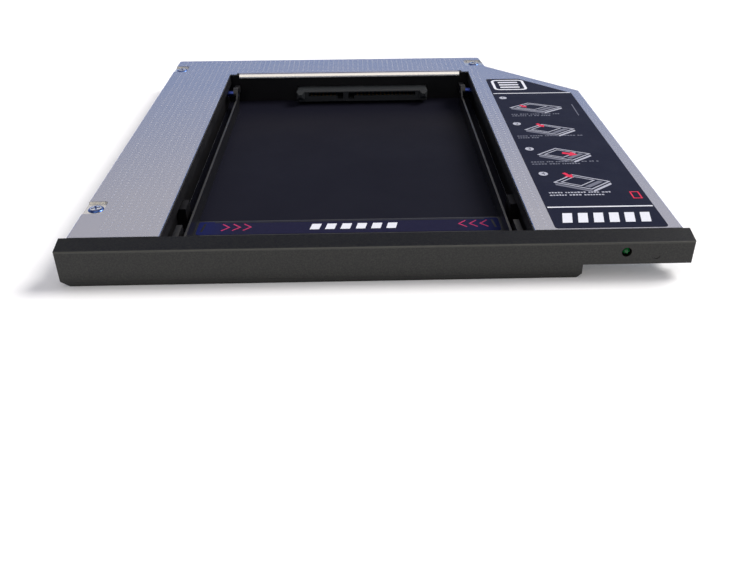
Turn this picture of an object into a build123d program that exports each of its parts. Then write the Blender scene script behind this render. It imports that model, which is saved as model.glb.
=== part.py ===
from build123d import *
from math import cos, radians, sin
import os

# Slim-bay drive caddy. All sizes are in millimetres. While it is drawn, x runs right from the
# case's left side, y runs back from the bezel's rear face and z runs up from the underside.
# The last step moves the origin to the middle of the base.

# Drive and the room around it
drive_w = 69.85
drive_l = 100.0
drive_y = 9.4
drive_side_gap = 0.65
drive_rear_gap = 0.8
drive_stop_gap = 0.2

# Case
left_w = 19.1
thin_w = 23.0
thin_h = 5.9
rear_l = 16.0
cover_t = 0.4
tray_t = 0.3
film_t = 0.1
skirt_h = 2.6
corner_r = 0.8
bend_r = 0.35
seam = 0.1

# Cut rear corner
cut_side = 36.7
cut_step = 10.3
cut_lean = 0.9
cut_r = 3.0
tail_wall = 0.4
step_inset = 1.8

# Bay window and the frame's bay walls
window_side = 3.975
window_lip_r = 1.3
window_lip_flat = 0.1
window_lip_inset = 3.0
relief_w = 0.8
edge_bevel = 0.1
lip_proud = 0.2
lip_h = 2.7
undercut = 1.0
ledge_h = 5.6
ledge_reach = 1.2
ledge_y = 20.0
ledge_l = 5.0
rear_wall_t = 0.8

# Screws and the pads they sit in
screw_head_r = 1.75
screw_top_r = 1.55
screw_head_h = 0.45
screw_head_gap = 0.05
screw_r = 0.8
screw_gap = 0.05
screw_clear = 0.1
cross_w = 0.45
cross_l = 2.1
cross_drop = 0.3
cover_screw_l = 4.2
bottom_screw_l = 3.2
boss_wall = 1.2
pad_w = 4.2
tail_pad_w = 6.4
pad_l = 6.2
pad_r = 0.9
side_screw_inset = 2.35
front_screw_y = 13.9
rear_screw_inset = 9.2
tail_screw_inset = 3.3
tail_screw_rear_inset = 6.2
bottom_pad_r = 2.3
bottom_screw_front = 8.0
bottom_screw_side_front = 30.0
bottom_screw_rear = 18.0

# Holes for the notebook's own bracket
bracket_hole_r = 0.8
bracket_hole_l = 4.5
bracket_pitch = 20.0
bracket_from_plug = 28.0
bracket_drop = 1.3
bracket_wall = 1.6
bracket_clear = 0.3
rail_w = 2.0
rail_h = 2.0

# Frame moulding
wall_t = 1.3
skin_t = 1.2
rib_t = 1.2
frame_gap = 0.1
core_front = 9.5
left_core_count = 6
right_core_count = 4

# Bezel
bezel_t = 4.4
bezel_over_l = 1.5
bezel_over_r = 1.3
bezel_drop = 0.1
bezel_slope = 0.9
bezel_chamfer_h = 1.5
bezel_chamfer_y = 0.6
bezel_step_gap = 1.7
end_chamfer_w = 1.7
end_chamfer_h = 1.6
step_chamfer_w = 0.9
step_chamfer_h = 1.2
bezel_wall = 1.2
bezel_edge_r = 0.25
bezel_hollow_count = 7
hook_l = 5.0
hook_w = 7.0
hook_t = 1.2
hook_barb = 0.5
hook_barb_l = 1.9
hook_gap = 0.2
hook_inset = 1.4
mark_r = 0.75
mark_drop = 0.1
mark_from_right = 6.4
mark_from_top = 4.2

# Lamp
led_from_right = 12.7
led_from_top = 3.2
led_hole_r = 1.05
led_r = 0.75
led_body_w = 2.6
led_body_l = 2.0
led_body_rim = 0.2
led_recess = 0.3
led_wall = 1.1
led_board_t = 0.6
led_board_l = 4.5
led_board_gap = 0.8
led_board_side = 2.6

# Latch
arm_t = 0.5
arm_h = 4.0
latch_lift = 0.1
latch_plate_t = 0.5
latch_plate_l = 22.0
latch_front_gap = 0.6
front_wall_t = 2.4
front_wall_h = 6.9
gusset_t = 1.2
gusset_h = 3.4
gusset_drop = 1.2
gusset_count = 6
grip_r = 5.0
grip_sag = 1.6
ear_l = 9.2
ear_h = 5.1
ear_gap = 0.7
ear_t = 1.3
ear_web_h = 1.2
ear_y = 3.0
nib_gap = 0.2
nib_l = 3.0
nib_h = 0.7
pivot_inset = 6.7
pivot_z = 5.2
pin_r = 0.9
pin_gap = 0.05
pin_seat = 1.5
pin_seat_gap = 0.02
pin_inset = 0.3
hub_r = 1.9
hub_w = 1.5
hub_rise_l = 3.8
latch_open = 70.0
heel_drop = 0.6
heel_t = 1.8
stop_gap = 0.15
latch_label_t = 0.06
latch_label_l = 6.4
latch_label_inset = 0.4
latch_label_r = 0.8

# Boards
board_t = 1.0
board_gap = 0.4
board_left = 9.0
board_side_gap = 0.7
board_rear_gap = 0.8
board_tab_l = 5.4

# Drive receptacle
receptacle_shift = 4.0
receptacle_h = 3.6
receptacle_entry = 3.3
receptacle_l = 8.1
receptacle_bevel = 0.4
receptacle_side = 3.8
slot_h = 1.25
slot_lift = 2.27
slot_deep = 6.0
signal_slot_w = 11.2
power_slot_w = 21.8
slot_split = 1.7
key_w = 1.9
key_drop = 1.0
arm_post_w = 2.4
arm_post_h = 2.3
arm_post_reach = 1.6
arm_post_root = 1.2
arm_post_bevel = 0.7
contact_pitch = 1.27
contact_w = 0.6
contact_t = 0.2
contact_side = 0.05
contact_inset = 1.0
signal_count = 7
power_count = 15
tail_l = 1.4
lock_w = 1.4
lock_l = 3.0
lock_t = 0.3
lock_h = 1.8

# Bay plug
plug_from_left = 12.0
plug_side = 4.95
plug_roof = 0.6
plug_h = 5.0
plug_l = 6.3
plug_wall = 0.9
plug_deep = 5.0
plug_power_w = 9.2
plug_power_count = 6
plug_hole_gap = 0.3
tongue_t = 1.1
tongue_inset = 0.6
strip_t = 0.1

# Flat cable and its socket
flex_w = 3.0
flex_t = 0.15
flex_inset = 3.7
flex_start = 1.0
flex_bend_l = 6.0
flex_bend_to_pivot = 6.5
flex_entry = 0.9
channel_gap = 0.7
socket_w = 4.4
socket_l = 3.0
socket_h = 1.5

# Instruction label
label_t = 0.1
label_left_gap = 4.4
label_right_gap = 2.9
label_front = 0.5
label_rear_gap = 24.7
label_cut_gap = 2.5
label_r = 0.8

# Small board parts
chip_w = 1.6
chip_l = 0.8
chip_h = 0.6
chip_pitch = 3.0
capacitor_inset = 5.5
resistor_inset = 3.5
capacitor_count = 6
resistor_count = 5
driver_w = 2.9
driver_l = 1.3
driver_h = 1.0
driver_lift = 0.05
driver_inset = 8.0
driver_rear_inset = 6.0
driver_leg_w = 0.4
driver_leg_l = 0.5
driver_leg_t = 0.2
driver_leg_count = 3

# Places across the case, worked out from the sizes above
window_w = drive_w + 2 * window_side
window_left = left_w
window_right = window_left + window_w
bay_mid = (window_left + window_right) / 2
lip_left = window_left + lip_proud
lip_right = window_right - lip_proud
bay_left = lip_left - undercut
bay_right = lip_right + undercut
flex_mid = window_right + flex_inset
channel_left = flex_mid - flex_w / 2 - channel_gap
channel_right = flex_mid + flex_w / 2 + channel_gap
cut_x = flex_mid + socket_w / 2 + tail_wall
step_x = cut_x + step_inset
case_w = step_x + thin_w
board_right = bay_right - board_side_gap
arm_in = drive_w / 2 + drive_side_gap
arm_out = arm_in + arm_t
lip_reach = window_w / 2 - lip_proud
receptacle_mid = bay_mid + receptacle_shift
receptacle_w = signal_slot_w + slot_split + power_slot_w + 2 * receptacle_side
plug_w = signal_slot_w + slot_split + plug_power_w + 2 * plug_side
bracket_mid = plug_from_left + plug_w + bracket_from_plug
led_x = case_w - led_from_right
led_board_right = led_x + led_board_side

# Places from front to back
window_d = drive_y + drive_l + drive_rear_gap
wall_y = window_d + cover_t
rear_y = wall_y + rear_wall_t
case_d = window_d + rear_l
cut_y = case_d - cut_side
board_y = rear_y + board_gap
pivot_y = window_d - pivot_inset
receptacle_y = drive_y + drive_l - receptacle_entry
flex_bend_y = pivot_y - flex_bend_to_pivot
socket_y = board_y + board_gap

# Heights, stacked up from the tray through the board and the bay plug to the cover
film_z = tray_t + film_t
board_z = film_z
board_top = board_z + board_t
cover_z = board_top + plug_h + plug_roof + rail_h
case_h = cover_z + cover_t
thin_rise = case_h - thin_h
tray_top = case_h - skirt_h - seam
pad_drop = screw_head_h + screw_head_gap
latch_z = film_z + latch_lift
receptacle_z = board_top
slot_z = receptacle_z + slot_lift
contact_z = slot_z - slot_h / 2 + contact_side
plug_mid_z = board_top + plug_h / 2
led_z = case_h - led_from_top
led_board_z = led_z - led_r - led_board_t
flex_z = led_board_z + led_board_t
flex_end_z = board_top + socket_h / 2
bracket_z = tray_top - bracket_drop
hook_z = thin_rise + tray_t + skin_t + hook_gap


def block(x0, x1, y0, y1, z0, z1):
    middle = Pos((x0 + x1) / 2, (y0 + y1) / 2, (z0 + z1) / 2)
    return middle * Box(x1 - x0, y1 - y0, z1 - z0)


def rod_z(x, y, r, z0, z1):
    return Pos(x, y, (z0 + z1) / 2) * Cylinder(r, z1 - z0)


def rod_x(x0, x1, y, z, r):
    return Pos((x0 + x1) / 2, y, z) * Rot(0, 90, 0) * Cylinder(r, x1 - x0)


def rod_y(x, y0, y1, z, r):
    return Pos(x, (y0 + y1) / 2, z) * Rot(90, 0, 0) * Cylinder(r, y1 - y0)


# A flat shape drawn in y and z, run along x from x0 to x1.
def run_x(points, x0, x1):
    face = make_face(Polyline([(x0, y, z) for y, z in points], close=True))
    return extrude(face, amount=x1 - x0, dir=(1, 0, 0))


def upright(face, z0, z1):
    return extrude(Pos(0, 0, z0) * face, amount=z1 - z0, dir=(0, 0, 1))


def nearest_corner(face, x, y):
    return face.vertices().sort_by_distance((x, y, 0))[0]


# The case's outline from above, with its rear right corner cut off, shrunk by a margin.
def outline(margin=0.0):
    corners = [
        (0, 0),
        (case_w, 0),
        (case_w, cut_y),
        (cut_x, case_d - cut_step),
        (cut_x - cut_lean, case_d),
        (0, case_d),
    ]
    face = make_face(Polyline(corners, close=True))
    face = fillet(nearest_corner(face, *corners[3]), cut_r)
    face = fillet(nearest_corner(face, *corners[4]), corner_r)
    face = fillet(nearest_corner(face, *corners[5]), corner_r)
    if margin:
        face = offset(face, -margin, kind=Kind.INTERSECTION)
    return face


# The case's outline made solid. With the front open it runs on past the bezel's rear face.
def case_solid(margin, z0, z1, open_front=False):
    solid = upright(outline(margin), z0, z1)
    if open_front:
        solid += block(margin, case_w - margin, -bezel_t, margin + bezel_t, z0, z1)
    return solid


# What lies under the raised right part, seen from below.
def thin_space(margin):
    return block(step_x - margin, case_w + 1, -bezel_t, case_d + 1, -1, thin_rise + margin)


def cover_screw_places():
    return [
        (side_screw_inset, front_screw_y),
        (side_screw_inset, case_d - rear_screw_inset),
        (cut_x - tail_screw_inset, case_d - tail_screw_rear_inset),
    ]


def bottom_screw_places():
    left_x = bay_left / 2
    right_x = (bay_right + step_x) / 2
    rear = window_d - bottom_screw_rear
    left = [(left_x, bottom_screw_front), (left_x, rear)]
    return left + [(right_x, bottom_screw_side_front), (right_x, rear)]


def bracket_holes(r, y0, y1):
    xs = (bracket_mid - bracket_pitch / 2, bracket_mid + bracket_pitch / 2)
    return [rod_y(x, y0, y1, bracket_z, r) for x in xs]


# The flat floor of a pad pressed down in the cover, open at the case's side where it is near one.
def cover_pad(x, y):
    reach = side_screw_inset + cover_t
    left = x - reach if x < case_w / 2 else x - tail_pad_w / 2
    right = x + pad_w / 2 if x < case_w / 2 else x + reach
    return left, right, y - pad_l / 2, y + pad_l / 2


# The same pad as a block with square corners, larger all round by a margin.
def pad_blocks(margin, z0, z1):
    blocks = []
    for x, y in cover_screw_places():
        x0, x1, y0, y1 = cover_pad(x, y)
        blocks.append(block(x0 - margin, x1 + margin, y0 - margin, y1 + margin, z0, z1))
    return blocks


def pad_hollow(x, y, z0, z1):
    x0, x1, y0, y1 = cover_pad(x, y)
    face = Pos((x0 + x1) / 2, (y0 + y1) / 2) * RectangleRounded(x1 - x0, y1 - y0, pad_r)
    return upright(face, z0, z1)


# The lip rolled down along the window's rear edge, grown outwards by a margin.
def rolled_lip(margin=0.0):
    x0 = window_left + window_lip_inset - margin
    x1 = window_right - window_lip_inset + margin
    y0, y1 = window_d, window_d + window_lip_r
    bend_z = case_h - window_lip_r
    low = bend_z - window_lip_flat
    if margin:
        return block(x0, x1, y0 - margin, y1 + margin, low - margin, case_h)
    bend = rod_x(x0, x1, y1, bend_z, window_lip_r)
    bend -= rod_x(x0, x1, y1, bend_z, window_lip_r - cover_t)
    bend &= block(x0, x1, y0, y1, bend_z, case_h)
    return bend + block(x0, x1, y0, y0 + cover_t, low, bend_z)


def top_cover():
    cover = case_solid(0, case_h - skirt_h, case_h)
    rim = [e for e in cover.edges().group_by(Axis.Z)[-1] if e.center().Y > 0.1]
    cover = fillet(rim, bend_r)
    cover -= case_solid(cover_t, 0, cover_z, open_front=True)
    cover -= block(window_left, window_right, -1, window_d, 0, case_h + 1)
    # Bevels along the window's cut sides
    sides = [e for e in cover.edges().filter_by(Axis.Y) if e.center().Z > case_h - 0.01]
    cut_sides = [e for e in sides if window_left - 0.01 < e.center().X < window_right + 0.01]
    cover = chamfer(cut_sides, edge_bevel)
    # The rolled lip between its two relief notches
    relief_x = window_lip_inset - relief_w
    relief_y = window_d + window_lip_r
    cover -= block(window_left + relief_x, window_right - relief_x, 0, relief_y, 0, case_h + 1)
    cover += rolled_lip()
    body = case_solid(0, 0, case_h)
    pad_z = case_h - pad_drop
    for pad in pad_blocks(cover_t, pad_z - cover_t, cover_z):
        cover += pad & body
    for x, y in cover_screw_places():
        cover -= pad_hollow(x, y, pad_z, case_h + 1)
        cover -= rod_z(x, y, screw_r + screw_clear, 0, case_h)
    return cover


def plug_opening(z0, z1):
    left = plug_from_left - plug_hole_gap
    right = plug_from_left + plug_w + plug_hole_gap
    return block(left, right, case_d - plug_l, case_d + 1, z0, z1)


def bottom_cover():
    tray = case_solid(0, 0, tray_top) - thin_space(0)
    tray -= case_solid(tray_t, tray_t, case_h, open_front=True) - thin_space(tray_t)
    for x, y in bottom_screw_places():
        tray += square_boss(x, y, bottom_pad_r + tray_t, pad_drop + tray_t)
        tray -= rod_z(x, y, bottom_pad_r, -1, pad_drop)
        tray -= rod_z(x, y, screw_r + screw_clear, -1, case_h)
    tray -= plug_opening(board_top - plug_hole_gap, case_h)
    for hole in bracket_holes(bracket_hole_r + bracket_clear, case_d - 1, case_d + 1):
        tray -= hole
    return tray


def square_boss(x, y, half, top):
    return block(x - half, x + half, y - half, y + half, tray_t, top)


# Pockets moulded up into a block from below, side by side along y with ribs between them.
def core_pockets(x0, x1, y0, y1, z0, z1, count):
    pitch = (y1 - y0 + rib_t) / count
    pockets = []
    for i in range(count):
        low = y0 + i * pitch
        pockets.append(block(x0, x1, low, low + pitch - rib_t, z0, z1))
    return pockets


def bay_frame():
    top = cover_z
    margin = max(cover_t, tray_t) + frame_gap
    frame = case_solid(margin, tray_t, top) - thin_space(tray_t + frame_gap)
    frame += block(margin, case_w - margin, 0, 2 * margin, thin_rise + tray_t + frame_gap, top)
    frame += block(margin, step_x - tray_t - frame_gap, 0, 2 * margin, tray_t, top)
    # The open bay, its side lips and the undercuts below them
    frame -= block(lip_left, lip_right, -1, wall_y, 0, case_h)
    frame -= block(bay_left, bay_right, -1, wall_y, 0, top - lip_h)
    # The rear compartment behind the bay's rear wall
    frame -= block(board_left - board_gap, case_w, rear_y, case_d + 1, 0, case_h)
    frame -= block(board_left - board_gap, board_right + board_gap, wall_y - 1, case_d, 0, film_z)
    frame -= rolled_lip(frame_gap)
    # The bridge and post that carry the rear right screw
    post_x, post_y = cover_screw_places()[2]
    bridge_z = top - (pad_drop + skin_t)
    bridge = block(bay_right, post_x + screw_r + boss_wall, rear_y - 1, post_y, bridge_z, top)
    post = square_boss(post_x, post_y, screw_r + boss_wall, top)
    # The rail along the rear edge, and the bosses behind the bracket's holes
    rail_y = case_d - margin - rail_w
    rail = block(margin, case_w, rail_y, case_d, top - rail_h, top)
    rail += block(post_x - screw_r, post_x + screw_r, post_y, case_d, top - rail_h, top)
    half = bracket_hole_r + bracket_wall
    for side in (-1, 1):
        x = bracket_mid + side * bracket_pitch / 2
        boss_y = case_d - margin - bracket_hole_l
        rail += block(x - half, x + half, boss_y, case_d, bracket_z - half, top)
    frame += (bridge + post + rail) & case_solid(margin, tray_t, top)
    for hole in bracket_holes(bracket_hole_r, case_d - margin - bracket_hole_l - 1, case_d):
        frame -= hole
    # Hollows moulded up into the side blocks
    core_top = top - skin_t
    left_x = (margin + wall_t, bay_left - wall_t)
    middle_x = (bay_right + wall_t, step_x - tray_t - frame_gap - wall_t)
    right_x = (step_x + rib_t, case_w - margin - wall_t)
    middle_top = flex_z - flex_t - skin_t
    right_rear = cut_y - rib_t
    hollows = core_pockets(*left_x, core_front, wall_y - rib_t, 0, core_top, left_core_count)
    hollows += core_pockets(*middle_x, core_front, flex_bend_y - rib_t, 0, middle_top, left_core_count)
    hollows += core_pockets(*right_x, core_front, right_rear, 0, core_top, right_core_count)
    for hollow in hollows:
        frame -= hollow
    for x, y in cover_screw_places()[:2]:
        frame += square_boss(x, y, screw_r + boss_wall, top) & case_solid(margin, tray_t, top)
    for x, y in bottom_screw_places():
        frame += square_boss(x, y, bottom_pad_r, top)
    # The lamp board's seat and the flat cable's channel
    seat_y = led_board_gap + led_board_l + frame_gap
    frame -= block(channel_left, led_board_right + frame_gap, -1, seat_y, led_board_z, case_h)
    channel = (channel_left, channel_right)
    frame -= block(*channel, 0, flex_bend_y, flex_z - flex_t, case_h)
    frame -= block(*channel, 0, rear_y + 1, flex_z - flex_t, bridge_z)
    frame -= block(*channel, flex_bend_y - 1, rear_y + 1, board_top, bridge_z)
    # Room for the pads, the screws, the receptacle and the bezel's hooks
    for pad in pad_blocks(cover_t + frame_gap, case_h - pad_drop - cover_t, case_h):
        frame -= pad
    for x, y in cover_screw_places():
        frame -= rod_z(x, y, screw_r + screw_gap, top - cover_screw_l - skin_t, case_h)
    for x, y in bottom_screw_places():
        frame -= square_boss(x, y, bottom_pad_r + tray_t + frame_gap, pad_drop + tray_t)
        frame -= rod_z(x, y, screw_r + screw_gap, 0, pad_drop + bottom_screw_l + frame_gap)
    frame -= block(
        receptacle_mid - receptacle_w / 2 - frame_gap,
        receptacle_mid + receptacle_w / 2 + frame_gap,
        wall_y - 1,
        rear_y + 1,
        receptacle_z,
        receptacle_z + receptacle_h + frame_gap,
    )
    for x in hook_places():
        frame -= block(
            x - hook_w / 2 - hook_gap,
            x + hook_w / 2 + hook_gap,
            -1,
            hook_l + hook_gap,
            hook_z - hook_gap,
            hook_z + hook_t + hook_barb + hook_gap,
        )
    # Ledges in the side channels and the holes for the latch pins
    for side in (-1, 1):
        root = bay_left if side < 0 else bay_right
        tip = root - side * (undercut + ledge_reach)
        reach = (min(root, tip), max(root, tip))
        frame += block(*reach, ledge_y, ledge_y + ledge_l, film_z, ledge_h)
        x0, x1 = pin_span(side)
        outer = x0 - wall_t if side < 0 else x1 + wall_t
        span = (min(root, outer), max(root, outer))
        half = pin_r + boss_wall
        pin_boss = (pivot_y - half, pivot_y + half, pivot_z - half, pivot_z + half)
        frame += block(*span, *pin_boss)
        frame -= rod_x(x0, x1, pivot_y, pivot_z, pin_r + pin_seat_gap)
    return frame


def floor_film():
    bay = block(bay_left + seam, bay_right - seam, frame_gap, wall_y, tray_t, film_z)
    rear = block(board_left, board_right, wall_y, case_d - board_rear_gap, tray_t, film_z)
    return bay + rear


def hook_places():
    return [bay_left / 2, case_w - hook_w / 2 - hook_inset]


def bezel_bar(x0, x1, bottom, chamfered):
    top_back = case_h - bezel_drop
    points = [(0, top_back), (-bezel_t, top_back - bezel_slope)]
    if chamfered:
        points.append((-bezel_t, bottom + bezel_chamfer_h))
        points.append((-bezel_t + bezel_chamfer_y, bottom))
    else:
        points.append((-bezel_t, bottom))
    points.append((0, bottom))
    return run_x(points, x0, x1)


def front_bezel():
    left = -bezel_over_l
    right = case_w + bezel_over_r
    thin_z = thin_rise - seam
    step = step_x + bezel_step_gap
    bezel = bezel_bar(left, step, 0, True)
    bezel += bezel_bar(step, right, thin_z, False)
    # Corners cut off the lower left end and the step
    end_cut = Plane.XZ * make_face(
        Polyline((left, 0), (left + end_chamfer_w, 0), (left, end_chamfer_h), close=True)
    )
    step_cut = Plane.XZ * make_face(
        Polyline(
            (step, 0),
            (step - step_chamfer_w, 0),
            (step, step_chamfer_h),
            close=True,
        )
    )
    for wedge in (end_cut, step_cut):
        bezel -= extrude(wedge, amount=bezel_t + 1, both=True)
    edges = bezel.edges().filter_by(Axis.X).sort_by(Axis.Y)
    front_top = [e for e in edges if abs(e.center().Z - (case_h - bezel_drop - bezel_slope)) < 0.01]
    ends = [e for e in bezel.edges().filter_by(Axis.Z) if e.center().Y < -bezel_t + 0.01]
    bezel = fillet(front_top + ends, bezel_edge_r)
    # Hollows in the rear face, with ribs between them
    deep = -bezel_t + bezel_wall
    low = bezel_chamfer_h
    high = case_h - bezel_drop - bezel_slope - bezel_wall
    pitch = (step - left - bezel_wall) / bezel_hollow_count
    for i in range(bezel_hollow_count):
        x0 = left + bezel_wall + i * pitch
        bezel -= block(x0, x0 + pitch - bezel_wall, deep, 1, low, high)
    thin_low = thin_z + bezel_wall
    lamp_half = led_hole_r + led_wall
    bezel -= block(step, led_x - lamp_half, deep, 1, thin_low, high)
    bezel -= block(led_x + lamp_half, right - bezel_wall, deep, 1, thin_low, high)
    # Hooks that go back into the frame
    barb_z = hook_z + hook_t
    barb = [
        (hook_l - hook_barb_l, hook_z),
        (hook_l - hook_barb_l, barb_z + hook_barb),
        (hook_l, barb_z),
        (hook_l, hook_z),
    ]
    for x in hook_places():
        x0, x1 = x - hook_w / 2, x + hook_w / 2
        bezel += block(x0, x1, deep - bezel_wall / 2, hook_l, hook_z, barb_z)
        bezel += run_x(barb, x0, x1)
    # Lamp hole and the blind round mark
    bezel -= rod_y(led_x, -bezel_t - 1, 1, led_z, led_hole_r)
    mark_x = case_w - mark_from_right
    mark_z = case_h - mark_from_top
    bezel -= rod_y(mark_x, -bezel_t - 1, -bezel_t + mark_drop, mark_z, mark_r)
    return bezel


def heel_length():
    depth = pivot_z - film_z - stop_gap
    turn = radians(latch_open)
    return (depth - heel_drop * cos(turn)) / sin(turn)


def pin_span(side):
    inner = bay_mid + side * (arm_out - pin_inset)
    outer = bay_mid + side * (lip_reach + undercut + pin_seat)
    return (outer, inner) if side < 0 else (inner, outer)


def side_block(side, d0, d1, y0, y1, z0, z1):
    x0, x1 = bay_mid + side * d0, bay_mid + side * d1
    return block(min(x0, x1), max(x0, x1), y0, y1, z0, z1)


def latch_arm(side):
    rise_y = pivot_y - hub_rise_l
    arm = side_block(side, arm_in, arm_out, latch_front_gap, rise_y, latch_z, latch_z + arm_h)
    d_hub = arm_in + hub_w
    x0, x1 = sorted((bay_mid + side * arm_in, bay_mid + side * d_hub))
    # The arm's rear end rises to the hub, clear of the floor as it turns
    rise = [
        (rise_y, latch_z),
        (pivot_y - hub_r, latch_z),
        (pivot_y, pivot_z - hub_r),
        (pivot_y, pivot_z + hub_r),
        (rise_y, latch_z + arm_h),
    ]
    xa, xb = sorted((bay_mid + side * arm_in, bay_mid + side * arm_out))
    arm += run_x(rise, xa, xb)
    arm += rod_x(x0, x1, pivot_y, pivot_z, hub_r)
    heel_z = pivot_z - heel_drop
    arm += side_block(side, arm_in, d_hub, pivot_y, pivot_y + heel_length(), heel_z, heel_z + heel_t)
    arm -= rod_x(x0 - 1, x1 + 1, pivot_y, pivot_z, pin_r + pin_gap)
    # The springy ear beside the front plate, joined to the arm at its foot, and its snap nib
    ear_in = arm_out + ear_gap
    ear_out = ear_in + ear_t
    ear = (ear_y, ear_y + ear_l)
    arm += side_block(side, arm_in, ear_out, *ear, latch_z, latch_z + ear_web_h)
    arm += side_block(side, ear_in, ear_out, *ear, latch_z, latch_z + ear_h)
    nib_y = ear_y + (ear_l - nib_l) / 2
    nib_z = latch_z + ear_h - 2 * nib_h
    nib_out = lip_reach - nib_gap
    arm += side_block(side, ear_in, nib_out, nib_y, nib_y + nib_l, nib_z, nib_z + nib_h)
    return arm


def retaining_latch():
    y0 = latch_front_gap
    plate_top = latch_z + latch_plate_t
    latch = block(
        bay_mid - arm_out, bay_mid + arm_out, y0, y0 + latch_plate_l, latch_z, plate_top
    )
    wall = block(
        bay_mid - arm_out, bay_mid + arm_out, y0, y0 + front_wall_t, latch_z, latch_z + front_wall_h
    )
    grip_z = latch_z + front_wall_h + grip_r - grip_sag
    latch += wall - rod_y(bay_mid, y0 - 1, y0 + front_wall_t + 1, grip_z, grip_r)
    # Gussets behind the front wall, which stop the drive's front end
    stop_y = drive_y - drive_stop_gap
    back = y0 + front_wall_t
    shape = [(back, plate_top), (stop_y, plate_top), (stop_y, latch_z + gusset_h)]
    shape.append((back, latch_z + front_wall_h - gusset_drop))
    spread = 2 * (arm_in - gusset_t)
    for i in range(gusset_count):
        x = bay_mid - arm_in + gusset_t / 2 + i * spread / (gusset_count - 1)
        latch += run_x(shape, x, x + gusset_t)
    for side in (-1, 1):
        latch += latch_arm(side)
    return latch


def latch_pins():
    pins = []
    for side in (-1, 1):
        x0, x1 = pin_span(side)
        pins.append(rod_x(x0, x1, pivot_y, pivot_z, pin_r))
    return pins


def latch_label():
    z = latch_z + latch_plate_t
    rear = latch_front_gap + latch_plate_l - latch_label_inset
    half = arm_in - latch_label_inset
    outer = RectangleRounded(2 * half, latch_label_l, latch_label_r)
    face = Pos(bay_mid, rear - latch_label_l / 2) * outer
    return upright(face, z, z + latch_label_t)


# The left edges of two slots, with their widths, contact counts and the left edges of their keys.
def keyed_rows(left, power_w, power_contact_count):
    power_left = left + signal_slot_w + slot_split
    return [
        (left, signal_slot_w, signal_count, left + signal_slot_w - key_w),
        (power_left, power_w, power_contact_count, power_left),
    ]


def slot_rows():
    total = signal_slot_w + slot_split + power_slot_w
    return keyed_rows(receptacle_mid - total / 2, power_slot_w, power_count)


# The contacts stand in the middle of the part of the slot beside its key.
def contact_places(left, width, count, key_x):
    shift = key_w / 2 if key_x == left else -key_w / 2
    middle = left + width / 2 + shift
    return [middle + (i - (count - 1) / 2) * contact_pitch for i in range(count)]


# One spring contact: a strip on the slot's floor, a leg down behind the housing and a foot.
def spring_contact(x):
    top = contact_z
    low = top - contact_t
    front = receptacle_y + contact_inset
    back = receptacle_y + receptacle_l + contact_side
    shape = [
        (front, top),
        (back + contact_t, top),
        (back + contact_t, board_top + contact_t),
        (back + tail_l, board_top + contact_t),
        (back + tail_l, board_top),
        (back, board_top),
        (back, low),
        (front, low),
    ]
    return run_x(shape, x - contact_w / 2, x + contact_w / 2)


def receptacle_contacts(row):
    return [spring_contact(x) for x in contact_places(*slot_rows()[row])]


def drive_receptacle():
    z = receptacle_z
    back = receptacle_y + receptacle_l
    mouth = receptacle_y
    left, right = receptacle_mid - receptacle_w / 2, receptacle_mid + receptacle_w / 2
    housing = block(left, right, mouth, back, z, z + receptacle_h)
    rim = housing.faces().sort_by(Axis.Z)[-1].edges()
    ends = housing.edges().filter_by(Axis.Z).sort_by(Axis.Y)[:2]
    housing = chamfer(rim + ends, receptacle_bevel)
    for slot_left, width, count, key_x in slot_rows():
        slot = (mouth - 1, mouth + slot_deep)
        slot_right = slot_left + width
        housing -= block(slot_left, slot_right, *slot, slot_z - slot_h / 2, slot_z + slot_h / 2)
        key_z = slot_z - slot_h / 2 - key_drop
        housing -= block(key_x, key_x + key_w, *slot, key_z, slot_z)
        groove = (mouth + contact_inset - contact_side, back + 1)
        side = contact_w / 2 + contact_side
        for x in contact_places(slot_left, width, count, key_x):
            housing -= block(x - side, x + side, *groove, contact_z - contact_t, contact_z)
    # Guide arms at both ends, with bevelled tips
    high = z + receptacle_h - receptacle_bevel / 2
    for x in (left, right - arm_post_w):
        reach = (mouth - arm_post_reach, mouth + arm_post_root)
        post = block(x, x + arm_post_w, *reach, high - arm_post_h, high)
        housing += chamfer(post.faces().sort_by(Axis.Y)[0].edges(), arm_post_bevel)
    return housing


def solder_locks(left, right, y, z):
    locks = []
    for x0 in (left - lock_w, right):
        lock = block(x0, x0 + lock_w, y, y + lock_l, z, z + lock_t)
        stem_x = x0 + lock_w - lock_t if x0 < left else x0
        lock += block(stem_x, stem_x + lock_t, y, y + lock_l, z, z + lock_h)
        locks.append(lock)
    return locks


def receptacle_locks():
    half = receptacle_w / 2
    return solder_locks(receptacle_mid - half, receptacle_mid + half, board_y, board_top)


def main_board():
    rear = case_d - board_rear_gap
    board = block(board_left, board_right, board_y, rear, board_z, board_top)
    tab_right = flex_mid + socket_w / 2 - seam
    board += block(board_left, tab_right, board_y, board_y + board_tab_l, board_z, board_top)
    return board


def plug_rows():
    return keyed_rows(plug_from_left + plug_side, plug_power_w, plug_power_count)


def bay_plug():
    z0, z1 = board_top, board_top + plug_h
    x0, x1 = plug_from_left, plug_from_left + plug_w
    front = case_d - plug_l
    plug = block(x0, x1, front, case_d, z0, z1)
    root = case_d - plug_deep
    mouth = block(x0 + plug_wall, x1 - plug_wall, root, case_d + 1, z0 + plug_wall, z1 - plug_wall)
    reach = (root, case_d - tongue_inset)
    low, high = plug_mid_z - tongue_t / 2, plug_mid_z + tongue_t / 2
    for left, width, count, key_x in plug_rows():
        mouth -= block(left, left + width, *reach, low, high)
        mouth -= block(key_x, key_x + key_w, *reach, low - key_drop, high)
    return plug - mouth


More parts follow.
